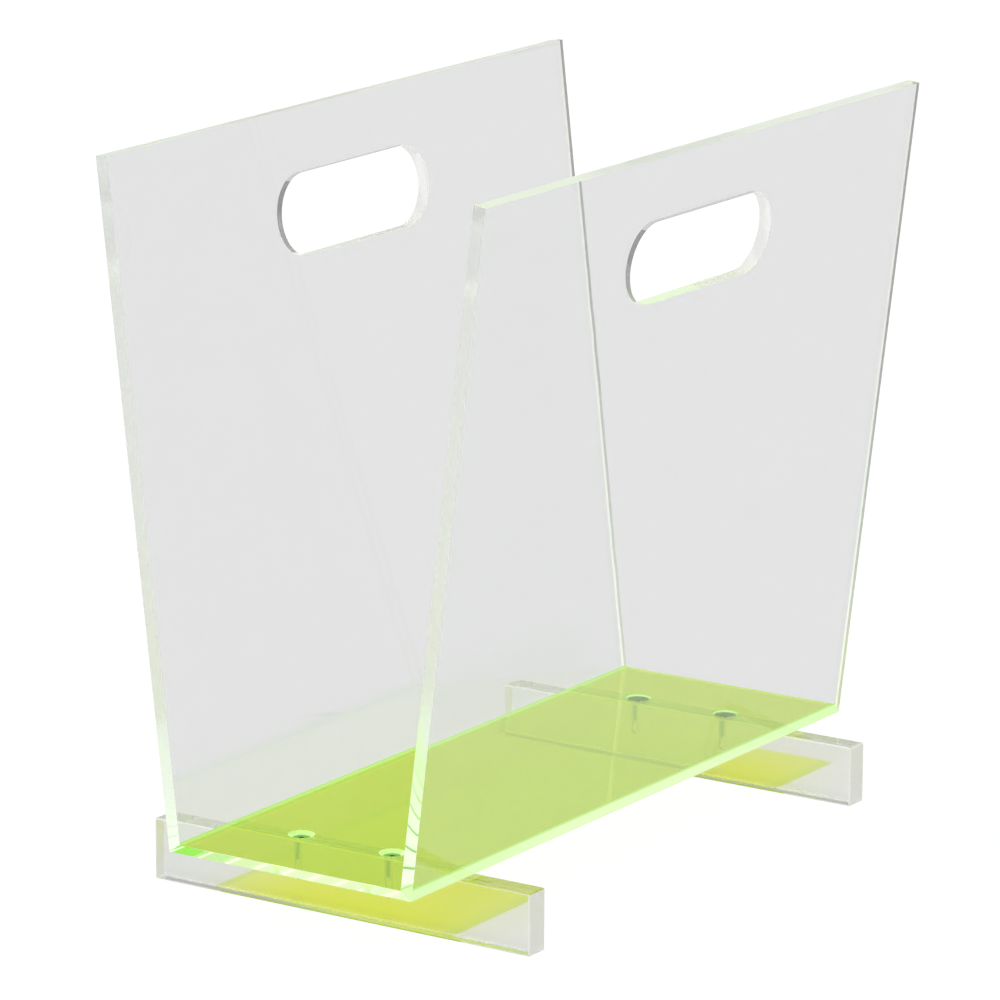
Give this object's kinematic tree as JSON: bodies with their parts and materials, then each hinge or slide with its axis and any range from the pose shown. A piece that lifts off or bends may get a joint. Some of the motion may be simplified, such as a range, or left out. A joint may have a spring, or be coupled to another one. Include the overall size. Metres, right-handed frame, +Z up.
{
  "type": "magazine rack",
  "caption": "Open-ended magazine rack: clear acrylic panels with handle slots lean out from a fluorescent green base plate screwed to clear bar feet.",
  "frame": {"origin": "on the surface that the feet stand on, under the middle of the rack", "axes": "+X along the rack, +Y across it towards the rear panel, +Z up"},
  "size_m": [0.356, 0.1992, 0.3316],
  "materials": {
    "clear_acrylic": "clear cast acrylic, polished faces and edges",
    "fluorescent_acrylic": "fluorescent green acrylic, clear faces, glowing polished edges",
    "screw_steel": "bright zinc-plated steel"
  },
  "bodies": {
    "root": {"base_plate": "fluorescent_acrylic", "front_panel": "clear_acrylic", "rear_panel": "clear_acrylic", "left_foot": "clear_acrylic", "right_foot": "clear_acrylic", "left_front_screw": "screw_steel", "left_rear_screw": "screw_steel", "right_front_screw": "screw_steel", "right_rear_screw": "screw_steel"}
  },
  "joints": []
}
